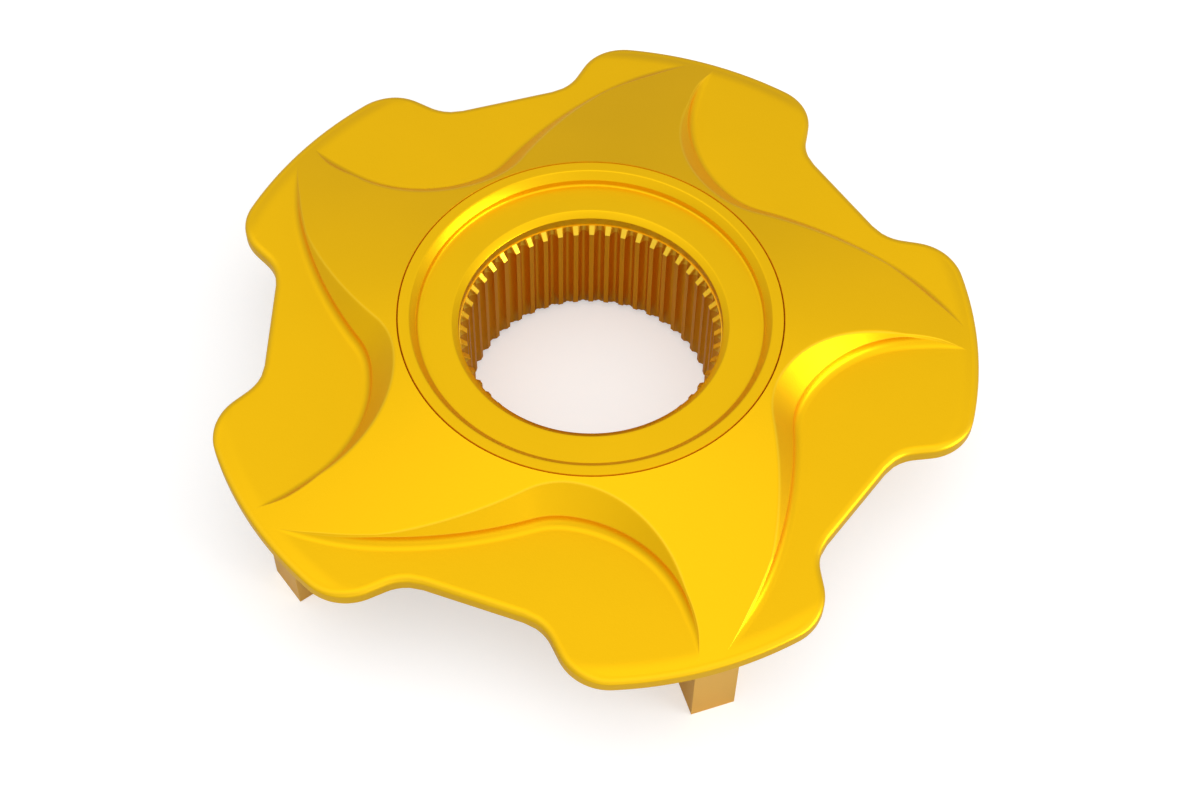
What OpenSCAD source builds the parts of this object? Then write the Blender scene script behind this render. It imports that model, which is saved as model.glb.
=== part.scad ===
// Five-lobed splined drive flange.
// It stands on its drive dogs at z = 0, its bore axis is +Z, and lobe 1 points along +X.

/* [Flange] */
// Diameter over the lobes
flange_d = 148; // [140:1:178]
// Height of the plate's underside above the feet of the dogs
plate_z = 21; // [18:0.5:26]
// Height of the plain band round the edge
rim_h = 2.1; // [1.5:0.1:4]
// Width of the chamfer round the upper edge
rim_chamfer_w = 1.4; // [0.6:0.1:2]
// Height of the chamfer round the upper edge
rim_chamfer_h = 1; // [0.5:0.1:2]
// Rise of the conical face from the pocket floors to the ring land
dome_h = 6.8; // [6:0.1:9]
// Distance from the outer circle in to where the face comes down to the pocket floors
dome_inset = 3; // [2:0.1:5]

/* [Notches] */
// Number of lobes, notches, pockets and dogs
lobes = 5; // [5:1:5]
// Depth of a notch below the outer circle
notch_depth = 12.7; // [10:0.1:15]
// Half width of the straight floor of a notch
notch_half_w = 9.5; // [7:0.1:12]
// Radius between the floor and the flank of a notch
notch_fillet_r = 8.5; // [6:0.1:10]
// Radius of the lobe corner beside a notch
lobe_corner_r = 9.8; // [7:0.1:11]
// Angle from the notch axis to the middle of a lobe corner
lobe_corner_a = 22.7; // [21:0.1:25]

/* [Swirl pockets] */
// Least distance from the hub's ring out to the pocket edge
pocket_land = 5.8; // [5:0.1:8]
// Angle of the corner arc's centre from the notch axis
pocket_a = 13.8; // [10:0.1:18]
// Radius of the corner arc
pocket_corner_r = 15.2; // [12:0.1:17]
// Direction from the corner centre at which the leading arc joins
pocket_lead_a = -78.3; // [-85:0.1:-70]
// Direction from the corner centre at which the trailing arc joins
pocket_trail_a = -52.6; // [-60:0.1:-45]
// Radius of the leading arc
pocket_lead_r = 26.2; // [22:0.1:30]
// Radius of the trailing arc
pocket_trail_r = 80.9; // [70:0.1:100]
// Height of the upright wall below the crescent bevel
pocket_wall_h = 2.1; // [1:0.1:3]

/* [Spline sleeve] */
// Number of teeth
teeth = 48; // [36:1:60]
// Radius at the tips of the teeth
tooth_tip_r = 23.55; // [21:0.05:28.5]
// Depth of the teeth
tooth_depth = 1.35; // [1:0.05:1.6]
// Share of the tooth pitch taken by a tip
tip_share = 0.34; // [0.2:0.01:0.45]
// Share of the tooth pitch taken by a root
root_share = 0.2; // [0.1:0.01:0.3]
// Turn of the first tooth from lobe 1
tooth_phase = 1.2; // [0:0.1:7.5]
// Wall of the sleeve outside the roots
sleeve_wall = 3.6; // [2.5:0.1:4.5]
// Gap between the feet of the dogs and the sleeve's lower end
sleeve_lift = 0.8; // [0.3:0.1:2]
// Number of pins on the joint between sleeve and barrel
sleeve_pin_n = 6; // [3:1:8]
// Diameter of a sleeve pin
sleeve_pin_d = 3; // [2:0.5:4]
// Length of a sleeve pin
sleeve_pin_l = 12; // [8:1:18]

/* [Hub barrel] */
// Wall of the barrel outside the sleeve
barrel_wall = 4.5; // [3.5:0.1:6]
// Radial relief of the plain bore outside the roots of the teeth
counterbore_relief = 0.15; // [0.05:0.05:0.6]
// Height of the plain bore above the teeth
counterbore_h = 1.95; // [1.5:0.05:3]
// Width of the chamfer at the mouth of the plain bore
counterbore_chamfer_w = 1.25; // [0.5:0.05:1.5]
// Height of the chamfer at the mouth of the plain bore
counterbore_chamfer_h = 0.9; // [0.4:0.05:1]
// Width of the nut seat
seat_w = 6.55; // [5:0.05:8]
// Depth of the nut recess below the ring land
recess_depth = 2.7; // [2:0.1:3.5]
// Leg of the chamfer at the mouth of the recess
recess_chamfer = 1.35; // [0.5:0.05:1.6]
// Width of the ring land
land_w = 2.2; // [1.5:0.1:4]
// Width of the flange under the plate
hub_flange_w = 7.1; // [6.8:0.1:9]
// Thickness of the flange under the plate
hub_flange_t = 4.5; // [4:0.1:6]

/* [Drive dogs] */
// Width of a dog
dog_w = 8.4; // [7:0.1:11]
// Distance from the outer circle in to the outer face of a dog
dog_inset = 3.25; // [2:0.05:6]
// Distance from a foot's inner edge out to the start of its dog
dog_start = 8.5; // [8:0.1:10]
// Turn of a dog from the middle of its lobe
dog_lead = 2.3; // [0:0.1:4]
// Thickness of a dog's foot under the plate
foot_t = 4; // [3:0.5:6]
// Gap between the hub flange and a dog's foot
foot_gap = 1; // [0.5:0.1:2]
// Width of a foot on the side that leads the dog
foot_lead_w = 15.5; // [14.5:0.1:18]
// Width of a foot on the side that trails the dog
foot_trail_w = 6; // [5.5:0.1:8]
// Radial length of a foot
foot_l = 18; // [17:0.5:20]

/* [Fasteners] */
// Nominal diameter of the screws
screw_d = 4; // [3:0.5:4]
// Clearance of a screw in its through hole, on the diameter
screw_clearance = 0.5; // [0.2:0.1:1]
// Diameter of a screw head
head_d = 7; // [5.5:0.1:7]
// Height of a screw head
head_h = 4; // [3:0.1:4]
// Width across flats of a screw's socket
socket_af = 3; // [2:0.5:3]
// Depth of a screw's socket
socket_depth = 2; // [1:0.1:2.5]
// Thread engaged in the plate
thread_l = 4; // [3:0.1:4.3]
// Depth left below a screw's end
tap_extra = 0.4; // [0.2:0.1:0.6]
// Number of hub screws
hub_screw_n = 10; // [5:1:10]
// Number of hub dowels
hub_dowel_n = 5; // [5:1:5]
// Diameter of the dowels
dowel_d = 4; // [3:0.5:5]
// Depth of a dowel in the plate
dowel_up = 2.8; // [2:0.1:3]
// Depth of a dowel in a dog
dowel_down = 7; // [4:0.5:10]

/* [Fits] */
// Radial clearance of the spigot in the plate
spigot_clearance = 0.05; // [0.02:0.01:0.2]

/* [Hidden] */
$fn = 96;
arc_n = 8;              // steps in each arc of an outline
past = 6;               // how far a cutter runs past what it cuts
bevel_past = 2;         // how far a pocket's bevel runs above the face
pocket_past = 1;        // how far a pocket's edge runs past the outer circle
chamfer_run = 3;        // how many chamfer widths the edge chamfer's slope goes on for
same_place = 0.001;     // two points closer than this are one
edge_break = 0.5;       // chamfer on outer edges of the barrel
inner_dowel_inset = 2.5;    // from a dog's inner face out to its inner dowel
outer_dowel_inset = 4.75;   // from a dog's outer face in to its outer dowel
hub_screw_turn = 9;     // turn of the first hub screw from lobe 1
hub_dowel_turn = 27;    // turn of the first hub dowel from lobe 1
step_a = 360 / lobes;
rim_r = flange_d / 2;
rim_z = plate_z + rim_h;
tooth_root_r = tooth_tip_r + tooth_depth;
sleeve_r = tooth_root_r + sleeve_wall;
barrel_r = sleeve_r + barrel_wall;
counterbore_r = tooth_root_r + counterbore_relief;
recess_lip_r = counterbore_r + counterbore_chamfer_w;
recess_r = recess_lip_r + seat_w;
spigot_r = recess_r + recess_chamfer + land_w;
hub_flange_r = spigot_r + hub_flange_w;
hub_screw_r = spigot_r + hub_flange_w / 2;
pocket_r = spigot_r + pocket_land + pocket_corner_r;
floor_z = rim_z + rim_chamfer_h;
land_z = floor_z + dome_h;
dome_slope = dome_h / (rim_r - dome_inset - spigot_r);
recess_z = land_z - recess_depth;
counterbore_z = recess_z - counterbore_chamfer_h;
sleeve_z = counterbore_z - counterbore_h;
bevel_z = floor_z + pocket_wall_h;
bevel_h = dome_h - pocket_wall_h + bevel_past;
foot_z = plate_z - foot_t;
foot_r = hub_flange_r + foot_gap;
dog_out_r = rim_r - dog_inset;
dog_in_r = foot_r + dog_start;
dog_l = dog_out_r - dog_in_r;
hub_flange_z = plate_z - hub_flange_t;
// Screws in a foot, as [out from the foot's inner edge, across the dog]
foot_screws = [[4, -1.5], [4.3, 11], [13.5, 9]];
dog_dowels_r = [dog_in_r + inner_dowel_inset, dog_out_r - outer_dowel_inset];

function ray(a) = [cos(a), sin(a)];
function bearing(p) = atan2(p[1], p[0]);
function arc(centre, r, a0, a1) =
    [for (i = [0:arc_n]) centre + r * ray(a0 + (a1 - a0) * i / arc_n)];
function turned(points, a) =
    [for (p = points) [p[0] * cos(a) - p[1] * sin(a), p[0] * sin(a) + p[1] * cos(a)]];

// Bearing of the point where a circle about centre meets the circle of radius reach about the axis
function reach_angle(centre, r, reach) =
    acos((reach * reach - centre * centre - r * r) / (2 * r * norm(centre)));

// Half of a notch and half of a lobe, with the notch axis along +Y, moved inwards by inset
function half_lobe(inset) =
    let (fillet_c = [notch_half_w, rim_r - notch_depth + notch_fillet_r],
         corner_c = (rim_r - lobe_corner_r) * ray(90 - lobe_corner_a),
         fillet_r = notch_fillet_r + inset,
         corner_r = lobe_corner_r - inset,
         between = corner_c - fillet_c,
         join_a = bearing(between) - acos((fillet_r + corner_r) / norm(between)))
    concat(arc(fillet_c, fillet_r, -90, join_a),
           arc(corner_c, corner_r, join_a + 180, 90 - lobe_corner_a),
           [for (i = [1:arc_n - 1])
                (rim_r - inset) * ray(90 - lobe_corner_a - (step_a / 2 - lobe_corner_a) * i / arc_n)]);

// Whole outline, clockwise
function outline(inset) =
    let (right = half_lobe(inset),
         n = len(right),
         left = [for (i = [0:n - 1]) [-right[n - 1 - i][0], right[n - 1 - i][1]]],
         tip = [(rim_r - inset) * ray(90 - step_a / 2)])
    [for (k = [0:lobes - 1]) each turned(concat(left, right, tip), step_a / 2 - 90 - step_a * k)];

// Pocket edge with the notch axis along +Y, moved out into the plate by grow, then closed outside the rim
function pocket(grow) =
    let (corner_c = pocket_r * ray(90 + pocket_a),
         lead_c = corner_c - (pocket_lead_r - pocket_corner_r) * ray(pocket_lead_a),
         trail_c = corner_c + (pocket_corner_r + pocket_trail_r) * ray(pocket_trail_a),
         lead_r = pocket_lead_r + grow,
         trail_r = pocket_trail_r - grow,
         reach = rim_r + pocket_past,
         lead_end = bearing(lead_c) + reach_angle(lead_c, lead_r, reach) - 360,
         trail_end = bearing(trail_c) + reach_angle(trail_c, trail_r, reach),
         edge = concat(arc(lead_c, lead_r, lead_end, pocket_lead_a),
                       arc(corner_c, pocket_corner_r + grow, pocket_lead_a, pocket_trail_a),
                       arc(trail_c, trail_r, pocket_trail_a + 180, trail_end)))
    distinct(concat(edge, [for (end = [edge[len(edge) - 1], edge[0]]) 2 * rim_r * ray(bearing(end))]));

// The points without the repeats where two arcs join
function distinct(points) =
    [for (i = [0:len(points) - 1]) if (i == 0 || norm(points[i] - points[i - 1]) > same_place) points[i]];

// Solid through a stack of outlines that have the same number of points, listed anticlockwise. Its ends
// fan out from middle, a place from which the whole of each outline can be seen.
module loft(layers, heights, middle) {
    n = len(layers[0]);
    m = len(layers);
    points = [for (j = [0:m - 1]) for (p = layers[j]) [p[0], p[1], heights[j]]];
    ends = [[middle[0], middle[1], heights[0]], [middle[0], middle[1], heights[m - 1]]];
    sides = [for (j = [0:m - 2]) for (i = [0:n - 1])
        [j * n + i, (j + 1) * n + i, (j + 1) * n + (i + 1) % n, j * n + (i + 1) % n]];
    floor_fan = [for (i = [0:n - 1]) [m * n, i, (i + 1) % n]];
    roof_fan = [for (i = [0:n - 1]) [m * n + 1, (m - 1) * n + (i + 1) % n, (m - 1) * n + i]];
    polyhedron(concat(points, ends), concat(sides, floor_fan, roof_fan));
}

function reversed(points) = [for (i = [len(points) - 1:-1:0]) points[i]];

// Hole from below into the plate
module blind(x, y, d, depth) {
    translate([x, y, plate_z - past]) cylinder(d = d, h = past + depth);
}

// Every child once on each lobe
module each_lobe(lead = 0) {
    for (k = [0:lobes - 1]) rotate(step_a * k + lead) children();
}

module star_plate() {
    color("gold") difference() {
        intersection() {
            rotate_extrude() polygon([
                [spigot_r + spigot_clearance, plate_z], [rim_r + past, plate_z],
                [rim_r + past, land_z - dome_slope * (rim_r + past - spigot_r)],
                [spigot_r + spigot_clearance, land_z - dome_slope * spigot_clearance]]);
            loft([for (run = [0, 0, chamfer_run, chamfer_run]) reversed(outline(run * rim_chamfer_w))],
                 [plate_z - past, rim_z, rim_z + chamfer_run * rim_chamfer_h, land_z + past], [0, 0]);
        }
        for (k = [0:lobes - 1]) rotate(step_a * (k + 0.5) - 90)
            loft([pocket(0), pocket(0), pocket(bevel_h)], [floor_z, bevel_z, bevel_z + bevel_h],
                 rim_r * ray(90 + pocket_a));
        each_lobe(dog_lead) {
            for (s = foot_screws) blind(foot_r + s[0], s[1], screw_d, thread_l + tap_extra);
            for (r = dog_dowels_r) blind(r, 0, dowel_d, dowel_up);
        }
        for (k = [0:hub_screw_n - 1]) rotate(hub_screw_turn + k * 360 / hub_screw_n)
            blind(hub_screw_r, 0, screw_d, thread_l + tap_extra);
        for (k = [0:hub_dowel_n - 1]) rotate(hub_dowel_turn + k * 360 / hub_dowel_n)
            blind(hub_screw_r, 0, dowel_d, dowel_up);
    }
}

module hub_barrel() {
    color("goldenrod") difference() {
        rotate_extrude() polygon([
            [sleeve_r, 0], [barrel_r - edge_break, 0], [barrel_r, edge_break], [barrel_r, hub_flange_z],
            [hub_flange_r - edge_break, hub_flange_z], [hub_flange_r, hub_flange_z + edge_break],
            [hub_flange_r, plate_z], [spigot_r, plate_z], [spigot_r, land_z],
            [recess_r + recess_chamfer, land_z], [recess_r, land_z - recess_chamfer], [recess_r, recess_z],
            [recess_lip_r, recess_z], [counterbore_r, counterbore_z], [counterbore_r, sleeve_z],
            [sleeve_r, sleeve_z]]);
        for (k = [0:hub_screw_n - 1]) rotate(hub_screw_turn + k * 360 / hub_screw_n)
            translate([hub_screw_r, 0, hub_flange_z - past])
                cylinder(d = screw_d + screw_clearance, h = hub_flange_t + 2 * past);
        for (k = [0:hub_dowel_n - 1]) rotate(hub_dowel_turn + k * 360 / hub_dowel_n)
            translate([hub_screw_r, 0, hub_flange_z - past])
                cylinder(d = dowel_d, h = hub_flange_t + 2 * past);
        sleeve_pin_holes();
    }
}

// Room for the pins, open at the bottom
module sleeve_pin_holes() {
    for (k = [0:sleeve_pin_n - 1]) rotate(k * 360 / sleeve_pin_n)
        translate([sleeve_r, 0, -past]) cylinder(d = sleeve_pin_d, h = past + sleeve_lift + sleeve_pin_l);
}

module spline_sleeve() {
    pitch = 360 / teeth;
    color("peru") difference() {
        translate([0, 0, sleeve_lift]) cylinder(r = sleeve_r, h = sleeve_z - sleeve_lift);
        translate([0, 0, -past]) linear_extrude(sleeve_z + 2 * past) polygon([
            for (k = [0:teeth - 1], corner = [
                [-tip_share / 2, tooth_tip_r], [tip_share / 2, tooth_tip_r],
                [(1 - root_share) / 2, tooth_root_r], [(1 + root_share) / 2, tooth_root_r]])
            corner[1] * ray(tooth_phase + pitch * (k + corner[0]))]);
        sleeve_pin_holes();
    }
}

module sleeve_pins() {
    color("silver") for (k = [0:sleeve_pin_n - 1]) rotate(k * 360 / sleeve_pin_n)
        translate([sleeve_r, 0, sleeve_lift]) cylinder(d = sleeve_pin_d, h = sleeve_pin_l);
}

module drive_dog(number) {
    color("darkgoldenrod") rotate(step_a * (number - 1) + dog_lead) difference() {
        union() {
            translate([dog_in_r, -dog_w / 2, 0]) cube([dog_l, dog_w, plate_z]);
            translate([foot_r, -foot_trail_w, foot_z]) cube([foot_l, foot_trail_w + foot_lead_w, foot_t]);
        }
        for (s = foot_screws) translate([foot_r + s[0], s[1], foot_z - past])
            cylinder(d = screw_d + screw_clearance, h = foot_t + 2 * past);
        for (r = dog_dowels_r) translate([r, 0, plate_z - dowel_down])
            cylinder(d = dowel_d, h = dowel_down + past);
    }
}

// Cap screw with the underside of its head at z = 0, pointing up
module cap_screw(length) {
    difference() {
        union() {
            translate([0, 0, -head_h]) cylinder(d = head_d, h = head_h);
            cylinder(d = screw_d, h = length);
        }
        translate([0, 0, -head_h - past])
            cylinder(d = socket_af / cos(30), h = past + socket_depth, $fn = 6);
    }
}

module dog_screws() {
    color("dimgray") each_lobe(dog_lead) for (s = foot_screws)
        translate([foot_r + s[0], s[1], foot_z]) cap_screw(foot_t + thread_l);
}

module dog_dowels() {
    color("silver") each_lobe(dog_lead) for (r = dog_dowels_r)
        translate([r, 0, plate_z - dowel_down]) cylinder(d = dowel_d, h = dowel_down + dowel_up);
}

module hub_screws() {
    color("dimgray") for (k = [0:hub_screw_n - 1]) rotate(hub_screw_turn + k * 360 / hub_screw_n)
        translate([hub_screw_r, 0, hub_flange_z]) cap_screw(hub_flange_t + thread_l);
}

module hub_dowels() {
    color("silver") for (k = [0:hub_dowel_n - 1]) rotate(hub_dowel_turn + k * 360 / hub_dowel_n)
        translate([hub_screw_r, 0, hub_flange_z]) cylinder(d = dowel_d, h = hub_flange_t + dowel_up);
}

star_plate();
hub_barrel();
spline_sleeve();
sleeve_pins();
drive_dog(1);  // drive_dog_1
drive_dog(2);  // drive_dog_2
drive_dog(3);  // drive_dog_3
drive_dog(4);  // drive_dog_4
drive_dog(5);  // drive_dog_5
dog_screws();
dog_dowels();
hub_screws();
hub_dowels();
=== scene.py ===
"""Gold anodised drive flange with five lobes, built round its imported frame.

Sizes are millimetres and angles are degrees until a mesh is filled. The bore axis is Z, the dogs
stand on z = 0, and lobe 1 points along X. Plan shapes of the plate are worked out in the frame of
one notch, whose axis is Y, and are then turned to each of the five notches.
"""
import logging
import math
from dataclasses import dataclass
from enum import Enum

import bmesh
import bpy
import numpy as np
from mathutils import Matrix, Vector
from mathutils.geometry import tessellate_polygon


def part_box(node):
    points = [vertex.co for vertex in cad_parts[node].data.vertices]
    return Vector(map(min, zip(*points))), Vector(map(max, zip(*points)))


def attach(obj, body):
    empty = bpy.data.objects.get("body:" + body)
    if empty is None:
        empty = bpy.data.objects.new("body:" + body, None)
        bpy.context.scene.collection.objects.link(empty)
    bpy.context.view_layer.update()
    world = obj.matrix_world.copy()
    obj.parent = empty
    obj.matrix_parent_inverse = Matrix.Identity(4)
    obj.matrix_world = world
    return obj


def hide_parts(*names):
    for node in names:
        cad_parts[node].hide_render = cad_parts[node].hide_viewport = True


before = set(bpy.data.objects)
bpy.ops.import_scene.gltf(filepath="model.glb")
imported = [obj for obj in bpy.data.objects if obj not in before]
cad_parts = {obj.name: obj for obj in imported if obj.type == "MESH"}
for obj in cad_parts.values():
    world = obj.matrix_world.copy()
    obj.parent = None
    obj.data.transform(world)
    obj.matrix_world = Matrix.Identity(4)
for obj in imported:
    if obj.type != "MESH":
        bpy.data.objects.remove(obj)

LOG = logging.getLogger("drive_flange")
MM = 0.001
WELD = 2e-6                # metres within which two points are one
SHARP = 32.0               # crease angle from which an edge is shaded sharp
FLAT = 1.0                 # crease angle up to which two faces are merged
ROOT = "root"
ARC_POINTS = 2000          # points in a traced arc
HEAD_H = 4.0               # height of a cap screw's head
PIN_ROUND = 0.1            # set-back of the roundings on pins and dowels
PIN_COLUMNS = 32
COLOUR = "NodeSocketColor"
FLOAT = "NodeSocketFloat"


# ---------------------------------------------------------------- plan geometry

def ray(angle: np.ndarray | float) -> np.ndarray:
    """Unit vector at a bearing: cosine and sine of the angle.

    Args:
        angle: one bearing or an array of them.

    Returns:
        An array with the two components last.
    """
    turn = np.radians(angle)
    return np.stack([np.cos(turn), np.sin(turn)], axis=-1)


def reach(points: np.ndarray) -> np.ndarray:
    """Distance of plan points from the bore axis."""
    return np.hypot(points[..., 0], points[..., 1])


def swing(points: np.ndarray) -> np.ndarray:
    """Bearing of plan points from the notch axis, anticlockwise."""
    return np.degrees(np.arctan2(-points[..., 0], points[..., 1]))


def at_swing(radius: np.ndarray, angle: np.ndarray) -> np.ndarray:
    """Plan points at a radius and a bearing from the notch axis."""
    return radius[..., None] * ray(angle + 90)


def turned(points: np.ndarray, angle: float) -> np.ndarray:
    """Points turned about the bore axis, in plan or in space.

    Args:
        points: an array whose last axis starts with x and y.
        angle: the turn, anticlockwise.

    Returns:
        A new array of the same shape.
    """
    along, across = ray(angle)
    out = points.copy()
    out[..., 0] = points[..., 0] * along - points[..., 1] * across
    out[..., 1] = points[..., 0] * across + points[..., 1] * along
    return out


def lifted(plan: np.ndarray, height: np.ndarray | float) -> np.ndarray:
    """Plan points with a height added to each."""
    return np.concatenate([plan, np.broadcast_to(height, plan.shape[:-1])[..., None]], axis=-1)


def circle(x: float, y: float, radius: float, steps: int) -> np.ndarray:
    """Plan points round a circle, without repeating the first."""
    return np.array([x, y]) + radius * ray(np.arange(steps) * 360 / steps)


def drawn_in(loop: np.ndarray, inset: float) -> np.ndarray:
    """Closed plan loop moved inwards: each point goes along the mean of its two sides' normals.

    Args:
        loop: plan points round the loop, without repeating the first.
        inset: how far each point goes.

    Returns:
        As many plan points.
    """
    ahead = np.roll(loop, -1, axis=0) - loop
    ahead = ahead / np.linalg.norm(ahead, axis=1)[:, None]
    along = ahead + np.roll(ahead, 1, axis=0)
    along = along / np.linalg.norm(along, axis=1)[:, None]
    after = np.roll(loop, -1, axis=0)
    area = np.sum(loop[:, 0] * after[:, 1] - loop[:, 1] * after[:, 0])
    return loop + inset * np.sign(area) * np.stack([-along[:, 1], along[:, 0]], axis=1)


def revolve(profile: np.ndarray, angles: np.ndarray) -> np.ndarray:
    """Surface of revolution: each profile point (radius, height) carried round the bore axis.

    Args:
        profile: points of radius and height.
        angles: bearings of the columns.

    Returns:
        A grid of points, one row for each profile point.
    """
    return lifted(profile[:, None, :1] * ray(angles)[None], profile[:, None, 1])


def parabola(start: np.ndarray, corner: np.ndarray, end: np.ndarray, share: np.ndarray) -> np.ndarray:
    """Parabola from a start to an end, with the corner as its control point.

    Args:
        start: where it starts.
        corner: where the tangents at its ends meet.
        end: where it ends.
        share: how far along it each result lies, from 0 to 1.

    Returns:
        A result for each share.
    """
    return (1 - share) ** 2 * start + 2 * share * (1 - share) * corner + share ** 2 * end


def slowing(steps: int) -> np.ndarray:
    """Shares from 0 to 1 whose steps grow shorter: 1 - (1 - even share) squared."""
    return 1 - (1 - np.linspace(0, 1, steps + 1)) ** 2


def distinct(points: np.ndarray) -> np.ndarray:
    """Points without those that the weld would merge with the one before."""
    gaps = np.linalg.norm(np.diff(points, axis=0), axis=1)
    return points[np.concatenate([[True], gaps > WELD / MM])]


def rounded(corners: list[tuple[float, float, float]], steps: int = 5) -> np.ndarray:
    """Profile with rounded corners: each is a parabola between points set back from the corner.

    Args:
        corners: radius, height and set-back of each corner; the set-back is 0 where it stays sharp.
        steps: points in a rounded corner.

    Returns:
        The profile's points.
    """
    places = np.array([c[:2] for c in corners])
    share = np.linspace(0, 1, steps)[:, None]
    out = []
    for i, (_, _, back) in enumerate(corners):
        if back == 0:
            out.append(places[i:i + 1])
            continue
        before, after = places[i - 1] - places[i], places[(i + 1) % len(places)] - places[i]
        start = places[i] + before * back / np.linalg.norm(before)
        end = places[i] + after * back / np.linalg.norm(after)
        out.append(parabola(start, places[i], end, share))
    return np.concatenate(out)


@dataclass(frozen=True)
class Trace:
    """Plan curve that runs outwards from the bore, as close points with the normals beside them."""

    points: np.ndarray
    normals: np.ndarray

    def at(self, radii: np.ndarray, inset: float = 0.0) -> "Trace":
        """Resamples the curve where its parallel at an inset lies at given radii.

        Args:
            radii: distances from the bore axis, rising.
            inset: distance of the parallel curve against the normals.

        Returns:
            A shorter trace with one point for each radius.
        """
        reached = reach(self.points - inset * self.normals)
        last = int(np.argmax(reached >= radii[-1])) or len(reached) - 1
        place = np.interp(radii, reached[:last + 1], np.arange(last + 1))
        low = np.minimum(place.astype(int), len(reached) - 2)
        part = (place - low)[:, None]
        points = self.points[low] * (1 - part) + self.points[low + 1] * part
        normals = self.normals[low] * (1 - part) + self.normals[low + 1] * part
        return Trace(points, normals / np.linalg.norm(normals, axis=1)[:, None])

    def mirrored(self) -> "Trace":
        """The same curve on the other side of the notch axis."""
        flip = np.array([-1.0, 1.0])
        return Trace(self.points * flip, self.normals * flip)


def arc(centre: np.ndarray, radius: float, start: float, end: float, facing: int = 1) -> Trace:
    """Circular arc as a trace: centre plus radius times the unit vector at each bearing.

    Args:
        centre: plan point.
        radius: of the arc.
        start: first bearing from the centre.
        end: last bearing from the centre.
        facing: 1 where the normals point away from the centre, -1 where they point to it.

    Returns:
        The trace.
    """
    way = ray(np.linspace(start, end, ARC_POINTS))
    return Trace(centre + radius * way, facing * way)


def joined(*parts: Trace) -> Trace:
    """Traces run together, without the points that two of them share."""
    points = np.concatenate([parts[0].points] + [p.points[1:] for p in parts[1:]])
    normals = np.concatenate([parts[0].normals] + [p.normals[1:] for p in parts[1:]])
    return Trace(points, normals)


# ---------------------------------------------------------------- meshes

class Shell:
    """Grids and flat caps gathered in millimetres and welded into one closed mesh."""

    def __init__(self) -> None:
        """Starts with no points and no faces."""
        self._points: list[np.ndarray] = []
        self._highlight_shares: list[np.ndarray] = []
        self._faces: list[list[int]] = []
        self._count = 0

    def _add(self, points: np.ndarray, edge: np.ndarray | float) -> int:
        """Adds points.

        Args:
            points: any grid of points.
            edge: share of painted highlight that each takes.

        Returns:
            The index of the first.
        """
        flat = points.reshape(-1, 3)
        self._points.append(flat)
        self._highlight_shares.append(np.broadcast_to(edge, points.shape[:-1]).reshape(-1))
        first = self._count
        self._count += len(flat)
        return first

    def grid(self, points: np.ndarray, edge: np.ndarray | float = 0.0, closed: bool = False) -> None:
        """Adds the quads of a grid.

        Args:
            points: rows by columns by 3.
            edge: share of painted highlight that each point takes, from 0 to 1.
            closed: whether the last column meets the first.
        """
        rows, columns = points.shape[:2]
        index = self._add(points, edge) + np.arange(rows * columns).reshape(rows, columns)
        if closed:
            index = np.concatenate([index, index[:, :1]], axis=1)
        corners = [index[:-1, :-1], index[:-1, 1:], index[1:, 1:], index[1:, :-1]]
        self._faces += np.stack(corners, axis=-1).reshape(-1, 4).tolist()

    def cap(self, outline: np.ndarray, holes: list[np.ndarray] | None = None) -> None:
        """Adds a flat face with holes, cut into triangles.

        Args:
            outline: points round the face.
            holes: points round each hole.
        """
        loops = [outline] + (holes or [])
        first = self._add(np.concatenate(loops), 0.0)
        triangles = tessellate_polygon([loop.tolist() for loop in loops])
        self._faces += (np.array(triangles) + first).tolist()

    def spun(self, profile: np.ndarray, centre: np.ndarray, steps: int) -> None:
        """Adds a turned solid whose profile starts and ends on its own axis.

        Args:
            profile: points of radius and height.
            centre: plan point of the axis.
            steps: columns.
        """
        points = revolve(profile, np.arange(steps) * 360 / steps)
        points[..., :2] += centre
        self.grid(points, closed=True)

    def build(self, name: str) -> bpy.types.Object:
        """Welds what was added and makes the object.

        Args:
            name: of the piece.

        Returns:
            The object, at the origin and linked to the scene.
        """
        mesh = bpy.data.meshes.new(name)
        mesh.from_pydata(np.concatenate(self._points) * MM, [], self._faces)
        # the "edge" attribute holds each point's share of painted highlight
        layer = mesh.attributes.new("edge", "FLOAT", "POINT")
        layer.data.foreach_set("value", np.concatenate(self._highlight_shares).astype(np.float32))
        weld(mesh)
        return placed(name, mesh)


def placed(name: str, data: bpy.types.ID) -> bpy.types.Object:
    """Makes an object and links it to the scene.

    Args:
        name: of the object.
        data: its mesh, camera or light.

    Returns:
        The object, at the origin.
    """
    made = bpy.data.objects.new(name, data)
    bpy.context.scene.collection.objects.link(made)
    return made


def weld(mesh: bpy.types.Mesh, merge_flat: bool = False) -> None:
    """Merges doubles and shades the mesh smooth between its creases.

    Args:
        mesh: changed in place.
        merge_flat: merges the faces that lie in one plane, instead of turning all faces outwards.
    """
    work = bmesh.new()
    work.from_mesh(mesh)
    bmesh.ops.remove_doubles(work, verts=work.verts, dist=WELD)
    if merge_flat:
        bmesh.ops.dissolve_limit(work, angle_limit=math.radians(FLAT), verts=work.verts, edges=work.edges)
    else:
        bmesh.ops.recalc_face_normals(work, faces=work.faces)
    work.to_mesh(mesh)
    work.free()
    mesh.shade_smooth()
    mesh.set_sharp_from_angle(angle=math.radians(SHARP))


# ---------------------------------------------------------------- finishes

class Marks(Enum):
    """What a surface's fine marks look like."""

    BLASTED = "blasted"
    TURNED = "turned"
    BROACHED = "broached"
    MILLED = "milled"


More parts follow.
